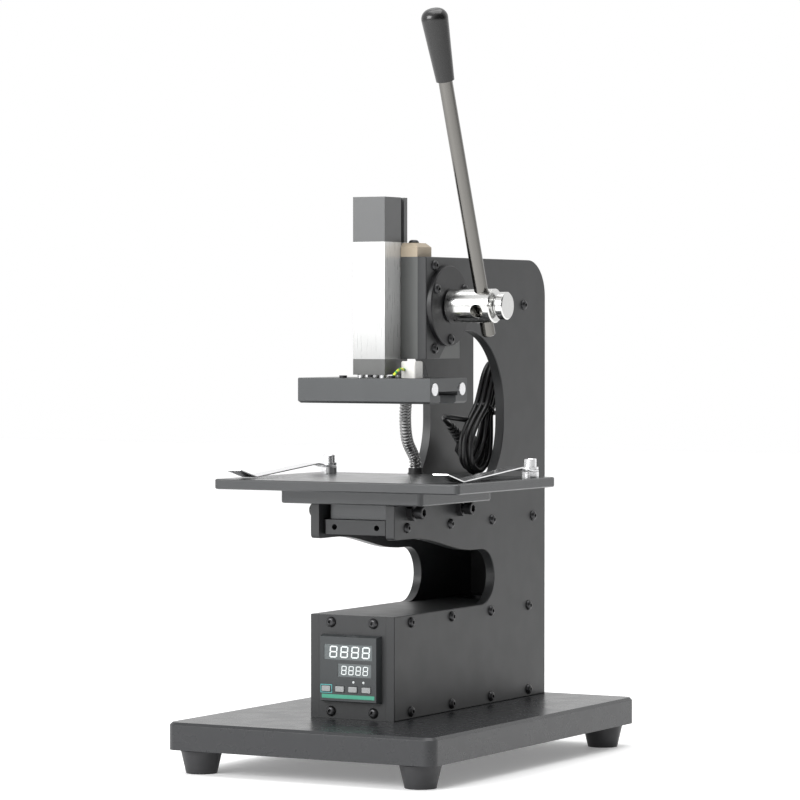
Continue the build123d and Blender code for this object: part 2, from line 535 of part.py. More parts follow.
with BuildPart() as clip_bolt:
    with BuildSketch(Plane.XZ):
        with BuildLine():
            Polyline((0, TABLE_Z), (CLIP_SHANK_R, TABLE_Z), (CLIP_SHANK_R, CLIP_WASHER_Z),
                     (CLIP_WASHER_R, CLIP_WASHER_Z), (CLIP_WASHER_R, CLIP_HEAD_Z),
                     (CLIP_HEAD_R, CLIP_HEAD_Z), (CLIP_HEAD_R, CLIP_HEAD_TOP), (0, CLIP_HEAD_TOP),
                     close=True)
        make_face()
    revolve(axis=Axis.Z)
    chamfer(clip_bolt.edges().filter_by(GeomType.CIRCLE).sort_by(Axis.Z)[-1], 0.5)
    with BuildSketch(Plane.XY.offset(CLIP_HEAD_TOP)):
        RegularPolygon(3.0 / math.sqrt(3), 6)
    extrude(amount=-3.0, mode=Mode.SUBTRACT)
with BuildPart() as clip_bolts:
    with Locations(*CLIP_BOLTS):
        add(clip_bolt.part)
finish("clip_bolts", clip_bolts)

# --------------------------------------------------- head: block, gibs, wiper
CHANNEL_BACK = RAM_BACK + CHANNEL_GAP
CHANNEL_HALF = RAM_HALF + CHANNEL_GAP


def ram_channel(front):
    """The slot that the ram runs in, cut out of the sketch being drawn."""
    with Locations((0, (front + CHANNEL_BACK) / 2)):
        Rectangle(2 * CHANNEL_HALF, CHANNEL_BACK - front, mode=Mode.SUBTRACT)


AXLE_SPOTS = both_sides(GAP_HALF, [(AXLE_Y, AXLE_Z)])
with BuildPart() as guide_block:
    with BuildSketch(Plane.XY.offset(HEAD_BOTTOM)) as outline:
        with Locations((0, (HEAD_FRONT + HEAD_BACK) / 2)):
            Rectangle(2 * GAP_HALF, HEAD_BACK - HEAD_FRONT)
        chamfer(outline.vertices().group_by(Axis.Y)[0].sort_by(Axis.X)[0], HEAD_CORNER)
        ram_channel(HEAD_FRONT)
        with Locations((0, GROOVE_Y)):
            Rectangle(2 * GIB_OUT, GIB_W, mode=Mode.SUBTRACT)
    extrude(amount=HEAD_TOP - HEAD_BOTTOM)
    with BuildSketch(Plane.YZ.offset(-CAVITY_HALF)):
        with Locations((AXLE_Y, AXLE_Z)):
            Circle(CAVITY_R)
    extrude(amount=2 * CAVITY_HALF, mode=Mode.SUBTRACT)
    with Locations(*AXLE_SPOTS):
        Hole(SHAFT_CLEAR_R, GAP_HALF)
    with Locations(*side_planes(GAP_HALF, HEAD_SCREWS), *side_planes(-GAP_HALF, LEFT_HEAD_SCREWS)):
        Hole(M4_THREAD_R, M4_DEPTH)
    with Locations(*side_planes(GAP_HALF, FLANGE_SCREWS)):
        Hole(M4_THREAD_R, M4_LENGTH - FLANGE_T - PLATE_T + 1)
    with Locations(*[(x, WIPER_SCREW[1], HEAD_TOP) for x in (-WIPER_SCREW[0], WIPER_SCREW[0])]):
        Hole(M4_THREAD_R, M4_LENGTH - WIPER_T + 1)
finish("guide_block", guide_block)

with BuildPart() as ram_gibs:
    with BuildSketch(Plane.XY.offset(HEAD_BOTTOM)):
        with Locations((0, GROOVE_Y)):
            with GridLocations(GIB_IN + GIB_OUT, 0, 2, 1):
                Rectangle(GIB_OUT - GIB_IN, GIB_W)
    extrude(amount=HEAD_TOP - HEAD_BOTTOM)
finish("ram_gibs", ram_gibs)

with BuildPart() as wiper_plate:
    with BuildSketch(Plane.XY.offset(HEAD_TOP)) as outline:
        with Locations((0, (HEAD_FRONT + WIPER_BACK) / 2)):
            Rectangle(2 * WIPER_HALF, WIPER_BACK - HEAD_FRONT)
        chamfer(outline.vertices().group_by(Axis.Y)[0].sort_by(Axis.X)[0], HEAD_CORNER)
    extrude(amount=WIPER_T)
    chamfer(wiper_plate.edges().group_by(Axis.Z)[-1], WIPER_CHAMFER)
    with BuildSketch(Plane.XY.offset(HEAD_TOP)):
        with Locations((0, (HEAD_FRONT + CHANNEL_BACK) / 2)):
            Rectangle(2 * CHANNEL_HALF, CHANNEL_BACK - HEAD_FRONT)
    extrude(amount=WIPER_T, mode=Mode.SUBTRACT)
    with Locations(*[(x, WIPER_SCREW[1], HEAD_TOP + WIPER_T)
                     for x in (-WIPER_SCREW[0], WIPER_SCREW[0])]):
        Hole(M4_CLEAR_R)
finish("wiper_plate", wiper_plate)


# ------------------------------------------------------------ ram and its rack
def ram_bar(z, height, slot=True):
    """A length of the ram: a square bar with a gib groove down each side."""
    with BuildPart() as bar:
        with BuildSketch(Plane.XY.offset(z)):
            with Locations((0, (RAM_FRONT + RAM_BACK) / 2)):
                Rectangle(2 * RAM_HALF, RAM_BACK - RAM_FRONT)
            with Locations((0, GROOVE_Y)):
                with GridLocations(2 * RAM_HALF - GROOVE_D, 0, 2, 1):
                    Rectangle(GROOVE_D, GROOVE_W, mode=Mode.SUBTRACT)
            if slot:
                with Locations((0, (RACK_SEAT + RAM_BACK) / 2)):
                    Rectangle(2 * (RACK_HALF + CHANNEL_GAP), RAM_BACK - RACK_SEAT,
                              mode=Mode.SUBTRACT)
        extrude(amount=height)
    return bar.part


with BuildPart() as ram:
    add(ram_bar(HEAD_BOTTOM, RAM_TOP - HEAD_BOTTOM))
    with Locations(*[Plane(origin=(0, y, HEAD_BOTTOM), z_dir=(0, 0, -1)) for y in FOOT_SCREW_Y]):
        Hole(M4_THREAD_R, FOOT_SCREW_LENGTH - (HEAD_BOTTOM - FOOT_BLOCK_Z - FOOT_SCREW_RECESS) + 1)
finish("ram", ram)

with BuildPart() as ram_top:
    add(ram_bar(RAM_TOP, RAM_CAP_TOP - RAM_TOP))
finish("ram_top", ram_top)

with BuildPart() as rack:
    with BuildSketch(Plane.YZ.offset(-RACK_HALF)):
        rack_root = RACK_SEAT, AXLE_Y - PINION_R - RACK_DED
        with Locations(((rack_root[0] + rack_root[1]) / 2, (RACK_BOTTOM + RACK_TOP) / 2)):
            Rectangle(rack_root[1] - rack_root[0], RACK_TOP - RACK_BOTTOM)
        half_root = RACK_TOOTH / 2 + RACK_DED * FLANK
        half_tip = RACK_TOOTH / 2 - RACK_ADD * FLANK
        with Locations(*[(AXLE_Y - PINION_R, AXLE_Z + (i + 0.5) * PITCH) for i in RACK_TEETH]):
            Polygon((-RACK_DED - 0.2, -half_root), (-RACK_DED, -half_root), (RACK_ADD, -half_tip),
                    (RACK_ADD, half_tip), (-RACK_DED, half_root), (-RACK_DED - 0.2, half_root),
                    align=None)
    extrude(amount=2 * RACK_HALF)
finish("rack", rack)

# -------------------------------------------------------- pinion, shaft, bearings
with BuildPart() as pinion:
    with BuildSketch(Plane.YZ.offset(-PINION_HALF)):
        with Locations((AXLE_Y, AXLE_Z)):
            Circle(PINION_R - PINION_DED)
            half_root = PINION_TOOTH / 2 + PINION_DED * FLANK
            half_tip = PINION_TOOTH / 2 - PINION_ADD * FLANK
            with PolarLocations(PINION_R, PINION_TEETH, start_angle=180):
                Polygon((-PINION_DED - 0.6, -half_root), (-PINION_DED, -half_root),
                        (PINION_ADD, -half_tip), (PINION_ADD, half_tip), (-PINION_DED, half_root),
                        (-PINION_DED - 0.6, half_root), align=None)
            Circle(SHAFT_R, mode=Mode.SUBTRACT)
    extrude(amount=2 * PINION_HALF)
finish("pinion", pinion)

with BuildPart() as pinion_shaft:
    with BuildSketch(Plane.YZ.offset(-PLATE_OUT)):
        with Locations((AXLE_Y, AXLE_Z)):
            Circle(SHAFT_R)
    extrude(amount=PLATE_OUT + SHAFT_END)
finish("pinion_shaft", pinion_shaft)

with BuildPart() as bearing_flange_right:
    with BuildSketch(Plane.YZ.offset(PLATE_OUT)):
        with Locations((AXLE_Y, AXLE_Z)):
            Circle(FLANGE_R)
        with Locations(*FLANGE_SCREWS):
            Circle(M4_CLEAR_R, mode=Mode.SUBTRACT)
    extrude(amount=FLANGE_T)
    chamfer(bearing_flange_right.faces().sort_by(Axis.X)[-1].outer_wire().edges(), 0.6)
    with BuildSketch(Plane.YZ.offset(GAP_HALF)):
        with Locations((AXLE_Y, AXLE_Z)):
            Circle(SPIGOT_R)
    extrude(amount=PLATE_T)
    with Locations(*side_planes(FLANGE_FACE, [(AXLE_Y, AXLE_Z)])):
        Hole(BUSH_R, FLANGE_T + PLATE_T)
finish("bearing_flange_right", bearing_flange_right)

with BuildPart() as bearing_ring_left:
    with BuildSketch(Plane.YZ.offset(-PLATE_OUT)):
        with Locations((AXLE_Y, AXLE_Z)):
            Circle(SPIGOT_R)
            Circle(BUSH_R, mode=Mode.SUBTRACT)
    extrude(amount=PLATE_T)
finish("bearing_ring_left", bearing_ring_left)

with BuildPart() as shaft_bushes:
    for start, length in ((GAP_HALF, FLANGE_T + PLATE_T), (-PLATE_OUT, PLATE_T)):
        with BuildSketch(Plane.YZ.offset(start)):
            with Locations((AXLE_Y, AXLE_Z)):
                Circle(BUSH_R)
                Circle(BUSH_BORE_R, mode=Mode.SUBTRACT)
        extrude(amount=length)
finish("shaft_bushes", shaft_bushes)

# ------------------------------------------------------------------- lever
lean = math.radians(LEVER_LEAN)
LEVER_DIR = (0, -math.sin(lean), math.cos(lean))
ACROSS_DIR = (0, -math.cos(lean), -math.sin(lean))
HUB_CENTRE = (ROD_X, AXLE_Y, AXLE_Z)
LEVER_FRAME = Plane(origin=HUB_CENTRE, x_dir=(1, 0, 0), z_dir=LEVER_DIR)
ACROSS_FRAME = Plane(origin=HUB_CENTRE, x_dir=(1, 0, 0), z_dir=ACROSS_DIR)

with BuildPart() as lever_hub:
    with BuildSketch(Plane.YZ.offset(HUB_IN)):
        with Locations((AXLE_Y, AXLE_Z)):
            Circle(HUB_R)
    extrude(amount=HUB_OUT - HUB_IN)
    chamfer(lever_hub.edges().filter_by(GeomType.CIRCLE), 0.8)
    with Locations(*[Plane(origin=(HUB_IN, AXLE_Y, AXLE_Z), z_dir=(-1, 0, 0))]):
        Hole(SHAFT_R, SHAFT_END - HUB_IN)
    with Locations(LEVER_FRAME):
        Cylinder(ROD_R + 0.02, 3 * HUB_R, mode=Mode.SUBTRACT)
    with Locations(ACROSS_FRAME):
        Cylinder(ROD_R, 3 * HUB_R, mode=Mode.SUBTRACT)
    with Locations(*side_planes(HUB_OUT, [(AXLE_Y, AXLE_Z)])):
        Hole(KNOB_STUD_R + 0.05, HUB_OUT - ROD_X)
finish("lever_hub", lever_hub)

with BuildPart() as lever_rod:
    with Locations(LEVER_FRAME):
        with Locations((0, 0, ROD_TAIL)):
            Cylinder(ROD_R, ROD_TIP - ROD_TAIL, align=(Align.CENTER, Align.CENTER, Align.MIN))
    chamfer(lever_rod.edges().filter_by(GeomType.CIRCLE), 0.8)
finish("lever_rod", lever_rod)

with BuildPart() as grip_upright:
    with BuildSketch(Plane.XZ):
        with BuildLine():
            Polyline((0, GRIP_END), (0, ROD_TIP), (ROD_R, ROD_TIP), (ROD_R, GRIP_START),
                     (GRIP_R_LOW, GRIP_START), (GRIP_R_TOP, GRIP_END), close=True)
        make_face()
    revolve(axis=Axis.Z)
    fillet(grip_upright.edges().filter_by(GeomType.CIRCLE).sort_by(Axis.Z)[-1], GRIP_DOME)
with BuildPart() as lever_grip:
    with Locations(LEVER_FRAME):
        add(grip_upright.part)
finish("lever_grip", lever_grip)

with BuildPart() as hub_knob:
    with Locations(Plane(origin=(KNOB_TIP, AXLE_Y, AXLE_Z), z_dir=(1, 0, 0))):
        Cylinder(KNOB_STUD_R, KNOB_NECK - KNOB_TIP, align=(Align.CENTER, Align.CENTER, Align.MIN))
        with Locations((0, 0, KNOB_NECK - KNOB_TIP)):
            Cylinder(KNOB_NECK_R, KNOB_DISC - KNOB_NECK, align=(Align.CENTER, Align.CENTER, Align.MIN))
        with Locations((0, 0, KNOB_DISC - KNOB_TIP)):
            Cylinder(KNOB_R, KNOB_END - KNOB_DISC, align=(Align.CENTER, Align.CENTER, Align.MIN))
    rims = hub_knob.edges().filter_by(GeomType.CIRCLE).group_by(SortBy.RADIUS)[-1]
    chamfer(rims, 0.7)
finish("hub_knob", hub_knob)

# -------------------------------------------------------------- heated plate
with BuildPart() as ram_foot:
    with BuildSketch(Plane.XY.offset(FOOT_BLOCK_Z)):
        with Locations((0, (RAM_FRONT + RAM_BACK) / 2)):
            Rectangle(2 * RAM_HALF, RAM_BACK - RAM_FRONT)
    extrude(amount=HEAD_BOTTOM - FOOT_BLOCK_Z)
    with Locations(*[(0, y, HEAD_BOTTOM) for y in FOOT_SCREW_Y]):
        Hole(M4_CLEAR_R)
    with Locations(*[Plane(origin=(0, y, FOOT_BLOCK_Z), z_dir=(0, 0, -1)) for y in FOOT_SCREW_Y]):
        Hole(M4_HEAD_R + 0.2, FOOT_SCREW_RECESS)
    with Locations(*[Plane(origin=(side * x, y, FOOT_BLOCK_Z), z_dir=(0, 0, -1))
                     for x, y in STANDOFFS for side in (-1, 1)]):
        Hole(STUD_R + 0.02, STUD_REACH)
finish("ram_foot", ram_foot)

foot_screw = cap_screw(M4_R, M4_HEAD_R - 0.3, 4.0, FOOT_SCREW_LENGTH, 3.0)
with BuildPart() as foot_screws:
    with Locations(*[Plane(origin=(0, y, FOOT_BLOCK_Z + FOOT_SCREW_RECESS), z_dir=(0, 0, -1))
                     for y in FOOT_SCREW_Y]):
        add(foot_screw)
finish("foot_screws", foot_screws)

with BuildPart() as heater_standoffs:
    with Locations(*[(side * x, y, HEATER_TOP) for x, y in STANDOFFS for side in (-1, 1)]):
        Cylinder(STANDOFF_R, FOOT_BLOCK_Z - HEATER_TOP, align=(Align.CENTER, Align.CENTER, Align.MIN))
        with Locations((0, 0, -STUD_REACH)):
            Cylinder(STUD_R, 2 * STUD_REACH + FOOT_BLOCK_Z - HEATER_TOP - 0.5,
                     align=(Align.CENTER, Align.CENTER, Align.MIN))
finish("heater_standoffs", heater_standoffs)

RETAINERS = [(x, y) for x in (-RETAINER_X, RETAINER_X) for y in CARTRIDGE_Y]
with BuildPart() as heater_plate:
    with BuildSketch(Plane.XY.offset(HEATER_Z)):
        with Locations((0, (HEATER_FRONT + HEATER_BACK) / 2)):
            Rectangle(2 * HEATER_HALF, HEATER_BACK - HEATER_FRONT)
    extrude(amount=HEATER_TOP - HEATER_Z)
    chamfer(heater_plate.edges().group_by(Axis.Z)[0], HEATER_CHAMFER)
    chamfer(heater_plate.edges().group_by(Axis.Z)[-1], 0.5)
    with BuildSketch(Plane.YZ.offset(-HEATER_HALF)):
        with Locations((SLOT_Y, (HEATER_Z + SLOT_NECK_Z) / 2)):
            Rectangle(2 * SLOT_NECK, SLOT_NECK_Z - HEATER_Z)
        with Locations((SLOT_Y, (SLOT_NECK_Z + SLOT_TOP_Z) / 2)):
            Rectangle(2 * SLOT_WIDE, SLOT_TOP_Z - SLOT_NECK_Z)
        with Locations(*[(y, CARTRIDGE_Z) for y in CARTRIDGE_Y]):
            Circle(CARTRIDGE_R)
    extrude(amount=2 * HEATER_HALF, mode=Mode.SUBTRACT)
    with Locations(*[(x, y, HEATER_TOP) for x, y in RETAINERS]):
        Hole(RETAINER_R + 0.02, RETAINER_LENGTH + 0.2)
    with Locations(*[(side * x, y, HEATER_TOP) for x, y in STANDOFFS for side in (-1, 1)]):
        Hole(STUD_R + 0.02, STUD_REACH)
finish("heater_plate", heater_plate)

with BuildPart() as cartridge_heaters:
    with BuildSketch(Plane.YZ.offset(-HEATER_HALF)):
        with Locations(*[(y, CARTRIDGE_Z) for y in CARTRIDGE_Y]):
            Circle(CARTRIDGE_R)
    extrude(amount=2 * HEATER_HALF + CARTRIDGE_OUT)
finish("cartridge_heaters", cartridge_heaters)

with BuildPart() as plate_screws:
    with Locations(*[(x, y, HEATER_TOP) for x, y in RETAINERS]):
        Cylinder(RETAINER_R, RETAINER_LENGTH, align=(Align.CENTER, Align.CENTER, Align.MAX))
        Cylinder(RETAINER_HEAD_R, RETAINER_H, align=(Align.CENTER, Align.CENTER, Align.MIN))
finish("plate_screws", plate_screws)

term_x, term_y, term_w, term_d, term_h = TERMINAL
with BuildPart() as terminal_block:
    with BuildSketch(Plane.XY.offset(HEATER_TOP)):
        with Locations((term_x, term_y)):
            RectangleRounded(term_w, term_d, 1.5)
    extrude(amount=term_h)
    chamfer(terminal_block.edges().group_by(Axis.Z)[-1], 0.8)
    with Locations(*[(term_x + side * term_w / 4, term_y, HEATER_TOP + term_h) for side in (-1, 1)]):
        Hole(1.8, 4.0)
finish("terminal_block", terminal_block)

with BuildPart() as conduit_ferrule:
    with BuildSketch(Plane(origin=(FERRULE_X, HEATER_BACK, FERRULE_Z), z_dir=(0, 1, 0))):
        Circle(FERRULE_R)
    extrude(amount=FERRULE_END - HEATER_BACK)
    chamfer(conduit_ferrule.edges().sort_by(Axis.Y)[-1], 0.8)
finish("conduit_ferrule", conduit_ferrule)

# ------------------------------------------------------- conduit and its gland
with BuildPart() as conduit_gland:
    with Locations((*CONDUIT_GLAND, DECK_Z)):
        Cylinder(CONDUIT_GLAND_R, 3.5, align=(Align.CENTER, Align.CENTER, Align.MIN))
        Cylinder(CONDUIT_GLAND_R - 0.6, CONDUIT_GLAND_TOP - DECK_Z,
                 align=(Align.CENTER, Align.CENTER, Align.MIN))
        Cylinder(CONDUIT_R, 7.0, align=(Align.CENTER, Align.CENTER, Align.MAX))
    with Locations((*CONDUIT_GLAND, CONDUIT_GLAND_TOP)):
        Hole(3.0)
finish("conduit_gland", conduit_gland)

with BuildPart() as conduit:
    add(tube("conduit", CONDUIT_ROUTE, CONDUIT_R))
finish("conduit", conduit)

# ---------------------------------------------------------------- controller
FRONT_CENTRE = Plane(origin=(0, PLATE_FRONT, CTRL_Z), x_dir=(1, 0, 0), z_dir=(0, -1, 0))
BEZEL_PLANE = FRONT_CENTRE.offset(BEZEL_T)

with BuildPart() as controller_body:
    with BuildSketch(FRONT_CENTRE):
        RectangleRounded(CTRL_BODY, CTRL_BODY, 1.5)
    extrude(amount=PLATE_FRONT - CTRL_BACK)
finish("controller_body", controller_body)

bezel_taper = math.degrees(math.atan((BEZEL_BACK_W - BEZEL_FRONT_W) / 2 / BEZEL_T))
with BuildPart() as controller_bezel:
    with BuildSketch(FRONT_CENTRE):
        Rectangle(BEZEL_BACK_W, BEZEL_BACK_W)
    extrude(amount=BEZEL_T, taper=bezel_taper)
    with BuildSketch(BEZEL_PLANE):
        for dx, dz, width, height in (WINDOW_UPPER, WINDOW_LOWER):
            with Locations((dx, dz)):
                Rectangle(width, height)
    extrude(amount=-WINDOW_DEPTH, mode=Mode.SUBTRACT)
    with BuildSketch(BEZEL_PLANE):
        with Locations(*[(x, BUTTON_DZ) for x in BUTTON_X]):
            Rectangle(BUTTON_W + 2 * BUTTON_GAP, BUTTON_H + 2 * BUTTON_GAP)
    extrude(amount=BEZEL_FACE - BUTTON_WELL, mode=Mode.SUBTRACT)
    with BuildSketch(FRONT_CENTRE.offset(2.5)):
        with Locations((1.5, BEZEL_BACK_W / 2)):
            Rectangle(11.0, 2.4)
    extrude(amount=2.0, mode=Mode.SUBTRACT)
finish("controller_bezel", controller_bezel)

with BuildPart() as display_window:
    with BuildSketch(FRONT_CENTRE.offset(BEZEL_T - WINDOW_DEPTH)):
        for dx, dz, width, height in (WINDOW_UPPER, WINDOW_LOWER):
            with Locations((dx, dz)):
                Rectangle(width, height)
    extrude(amount=WINDOW_T)
finish("display_window", display_window)

for button_x, button_name in zip(BUTTON_X, BUTTON_NAMES):
    with BuildPart() as button:
        with BuildSketch(Plane(origin=(button_x, BUTTON_BACK, CTRL_Z + BUTTON_DZ), x_dir=(1, 0, 0),
                               z_dir=(0, -1, 0))):
            RectangleRounded(BUTTON_W, BUTTON_H, 0.6)
        extrude(amount=BUTTON_BACK - BEZEL_FACE + BUTTON_PROUD)
        fillet(button.faces().sort_by(Axis.Y)[0].edges(), 0.3)
    finish(button_name, button)

# --------------------------------------------------------------- mains cord
with BuildPart() as cable_gland:
    with Locations((CABLE_GLAND_X, CABLE_GLAND_Y, DECK_Z)):
        Cylinder(CABLE_GLAND_R, 5.0, align=(Align.CENTER, Align.CENTER, Align.MIN))
        Cylinder(CONDUIT_R, 7.0, align=(Align.CENTER, Align.CENTER, Align.MAX))
        with Locations((0, 0, 5.0)):
            Cone(CABLE_GLAND_R - 1.5, CORD_R + 0.6, CABLE_GLAND_TOP - DECK_Z - 5.0,
                 align=(Align.CENTER, Align.CENTER, Align.MIN))
finish("cable_gland", cable_gland)

with BuildPart() as power_cord:
    add(tube("power_cord", LEAD_ROUTE, CORD_R))
finish("power_cord", power_cord)

with BuildPart() as cord_tail:
    add(tube("cord_tail", TAIL_ROUTE, CORD_R))
finish("cord_tail", cord_tail)

with BuildPart() as cord_hank:
    for lobe_a, lobe_b in zip(HANK_LOBES, HANK_LOBES[1:]):
        with BuildSketch(Plane.YZ.offset(HANK_X)):
            with BuildLine():
                for centre, radius in (lobe_a, lobe_b):
                    CenterArc(centre, radius, 0, 360)
            make_hull()
        extrude(amount=HANK_W)
finish("cord_hank", cord_hank)

PLUG_START = Vector(*TAIL_ROUTE[-1])
PLUG_FRAME = Plane(origin=PLUG_START, x_dir=(1, 0, 0), z_dir=PLUG_DIR)
with BuildPart() as plug:
    with Locations(PLUG_FRAME):
        Cone(RELIEF_R0, RELIEF_R1, RELIEF_L, align=(Align.CENTER, Align.CENTER, Align.MIN))
    with BuildSketch(PLUG_FRAME.offset(RELIEF_L)):
        RectangleRounded(PLUG_W, PLUG_H, PLUG_CORNER)
    extrude(amount=PLUG_L)
finish("plug", plug)

with BuildPart() as plug_blades:
    with BuildSketch(PLUG_FRAME.offset(RELIEF_L + PLUG_L)):
        with GridLocations(2 * BLADE_X, 0, 2, 1):
            Rectangle(BLADE_T, BLADE_W)
    extrude(amount=BLADE_L)
finish("plug_blades", plug_blades)

# -------------------------------------------------------------------- export
for part_name, shape in parts.items():
    export_step(shape, f"parts/{part_name}.step")
print(len(parts), "pieces written")
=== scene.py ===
"""Looks for the tabletop foil press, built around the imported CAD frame.

The scene is in metres; places and sizes are written in millimetres and scaled by MM."""
import math

import bmesh
import bpy
from mathutils import Matrix, Vector


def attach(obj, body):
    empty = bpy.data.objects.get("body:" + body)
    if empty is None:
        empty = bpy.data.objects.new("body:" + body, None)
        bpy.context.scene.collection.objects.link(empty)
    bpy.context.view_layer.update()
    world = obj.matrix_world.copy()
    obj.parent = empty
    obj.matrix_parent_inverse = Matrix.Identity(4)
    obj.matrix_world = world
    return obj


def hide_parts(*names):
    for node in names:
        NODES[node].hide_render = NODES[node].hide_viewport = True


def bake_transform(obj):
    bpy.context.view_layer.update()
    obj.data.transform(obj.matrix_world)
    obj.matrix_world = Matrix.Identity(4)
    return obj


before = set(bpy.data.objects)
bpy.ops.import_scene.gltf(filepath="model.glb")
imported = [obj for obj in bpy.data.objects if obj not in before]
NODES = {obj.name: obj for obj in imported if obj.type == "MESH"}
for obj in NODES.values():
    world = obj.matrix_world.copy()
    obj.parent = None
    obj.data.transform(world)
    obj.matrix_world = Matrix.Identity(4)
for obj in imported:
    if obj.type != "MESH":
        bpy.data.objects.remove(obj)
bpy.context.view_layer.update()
MM = 0.001


def mm(*values):
    """A point or size given in millimetres, in metres."""
    return Vector([value * MM for value in values])


# ------------------------------------------------------------------ camera
def make_camera():
    """Looks at the middle of the press from 29 degrees right of the front, from far back."""
    aim = mm(-12.9, 10.8, 261.0)
    azimuth, elevation, distance = math.radians(29.06), math.radians(1.16), 2.6677
    away = Vector((math.sin(azimuth) * math.cos(elevation),
                   -math.cos(azimuth) * math.cos(elevation),
                   math.sin(elevation)))
    data = bpy.data.cameras.new("camera")
    data.lens, data.sensor_width = 164.3, 36.0
    data.clip_start, data.clip_end = 0.05, 30.0
    camera = bpy.data.objects.new("camera", data)
    bpy.context.scene.collection.objects.link(camera)
    camera.location = aim + away * distance
    camera.rotation_euler = (-away).to_track_quat("-Z", "Y").to_euler()
    bpy.context.scene.camera = camera


make_camera()


# -------------------------------------------------------------- mesh helpers
def link(name, data, body, smooth=True):
    """Puts a mesh or curve into the scene, riding on a CAD body."""
    piece = bpy.data.objects.new(name, data)
    bpy.context.scene.collection.objects.link(piece)
    if smooth and isinstance(data, bpy.types.Mesh):
        data.shade_smooth()
    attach(piece, body)
    return piece


def mesh_from(name, vertices, faces):
    mesh = bpy.data.meshes.new(name)
    mesh.from_pydata([tuple(v) for v in vertices], [], faces)
    mesh.validate()
    mesh.update()
    return mesh


def route_curve(name, points, radius):
    """A smooth round cord: one open NURBS spline with the route as its control points.

    The points carry the radius, so that the curve's own box is the cord's box."""
    data = bpy.data.curves.new(name, "CURVE")
    data.dimensions = "3D"
    data.resolution_u = 8
    data.bevel_depth = 1.0 if radius else 0.0
    data.bevel_resolution = 4
    data.use_fill_caps = True
    spline = data.splines.new("NURBS")
    spline.points.add(len(points) - 1)
    for point, place in zip(spline.points, points):
        point.co = (*place, 1.0)
        point.radius = radius
    spline.order_u = 3
    spline.use_endpoint_u = True
    return data


def route_points(points):
    """Points along the route's own smooth line, as Blender draws it."""
    data = route_curve("line", points, 0.0)
    data.use_fill_caps = False
    data.resolution_u = 12
    holder = bpy.data.objects.new("line", data)
    mesh = bpy.data.meshes.new_from_object(holder)
    line = [v.co.copy() for v in mesh.vertices]
    bpy.data.objects.remove(holder)
    bpy.data.meshes.remove(mesh)
    return line


def line_length(line):
    return sum((b - a).length for a, b in zip(line, line[1:]))


def along(line, spacing):
    """Even stations on a line: (distance, place, direction)."""
    total = line_length(line)
    count = max(2, round(total / spacing))
    stations, walked, index = [], 0.0, 0
    for i in range(count + 1):
        target = total * i / count
        while index < len(line) - 2 and walked + (line[index + 1] - line[index]).length < target:
            walked += (line[index + 1] - line[index]).length
            index += 1
        run = line[index + 1] - line[index]
        share = min(1.0, (target - walked) / run.length)
        stations.append((target, line[index] + run * share, run.normalized()))
    return stations


def turned_tube(name, line, spacing, sides, radius_at):
    """A closed tube along a line whose radius depends on the distance and the angle round it."""
    vertices, faces = [], []
    stations = along(line, spacing)
    normal = stations[0][2].orthogonal().normalized()
    for distance, place, direction in stations:
        normal = (normal - direction * normal.dot(direction)).normalized()
        across = direction.cross(normal)
        for k in range(sides):
            angle = 2 * math.pi * k / sides
            reach = radius_at(distance, angle)
            vertices.append(place + (normal * math.cos(angle) + across * math.sin(angle)) * reach)
    for i in range(len(stations) - 1):
        for k in range(sides):
            a, b = i * sides + k, i * sides + (k + 1) % sides
            faces.append((a, b, b + sides, a + sides))
    faces.append(tuple(reversed(range(sides))))
    last = (len(stations) - 1) * sides
    faces.append(tuple(range(last, last + sides)))
    return mesh_from(name, vertices, faces)


# --------------------------------------------------------------- mains cord
CORD_R = 2.0 * MM
LEAD = [mm(13, 121, 226), mm(13, 121.5, 239), mm(12.5, 119.5, 253), mm(12, 114, 266)]
TAIL = [mm(10, 91, 248), mm(7, 80, 245), mm(3, 69, 246.5), mm(-2.5, 61.5, 248),
        mm(-6.5, 66, 246.5), mm(-7, 76, 241.5)]
WAIST = mm(12, 97, 253)
HANK_AXIS = Vector((0, 0.487, 0.873)).normalized()
HANK_ACROSS = Vector((0, 0.873, -0.487)).normalized()
UPPER_AXIS = Vector((0, 0.582, 0.813)).normalized()
UPPER_ACROSS = Vector((0, 0.813, -0.582)).normalized()
# One entry per turn: layer, reach down, half width below, reach up, half width above, half waist
TURNS = [
    (4.4, 50.5, 16.2, 44.5, 10.8, 6.0),
    (0.0, 51.8, 16.9, 46.2, 11.2, 6.2),
    (-4.4, 48.6, 14.6, 42.0, 10.2, 6.2),
    (-4.4, 40.2, 8.6, 34.0, 5.6, 2.1),
    (0.0, 44.6, 10.4, 37.6, 6.2, 2.1),
    (4.4, 41.2, 8.2, 32.6, 5.2, 2.1),
]


def hank_place(length, width, side):
    """A point of the hank: along its bent axis, across it and sideways, in millimetres."""
    axis, across = (UPPER_AXIS, UPPER_ACROSS) if length > 0 else (HANK_AXIS, HANK_ACROSS)
    return WAIST + axis * length * MM + across * width * MM + Vector((side * MM, 0, 0))


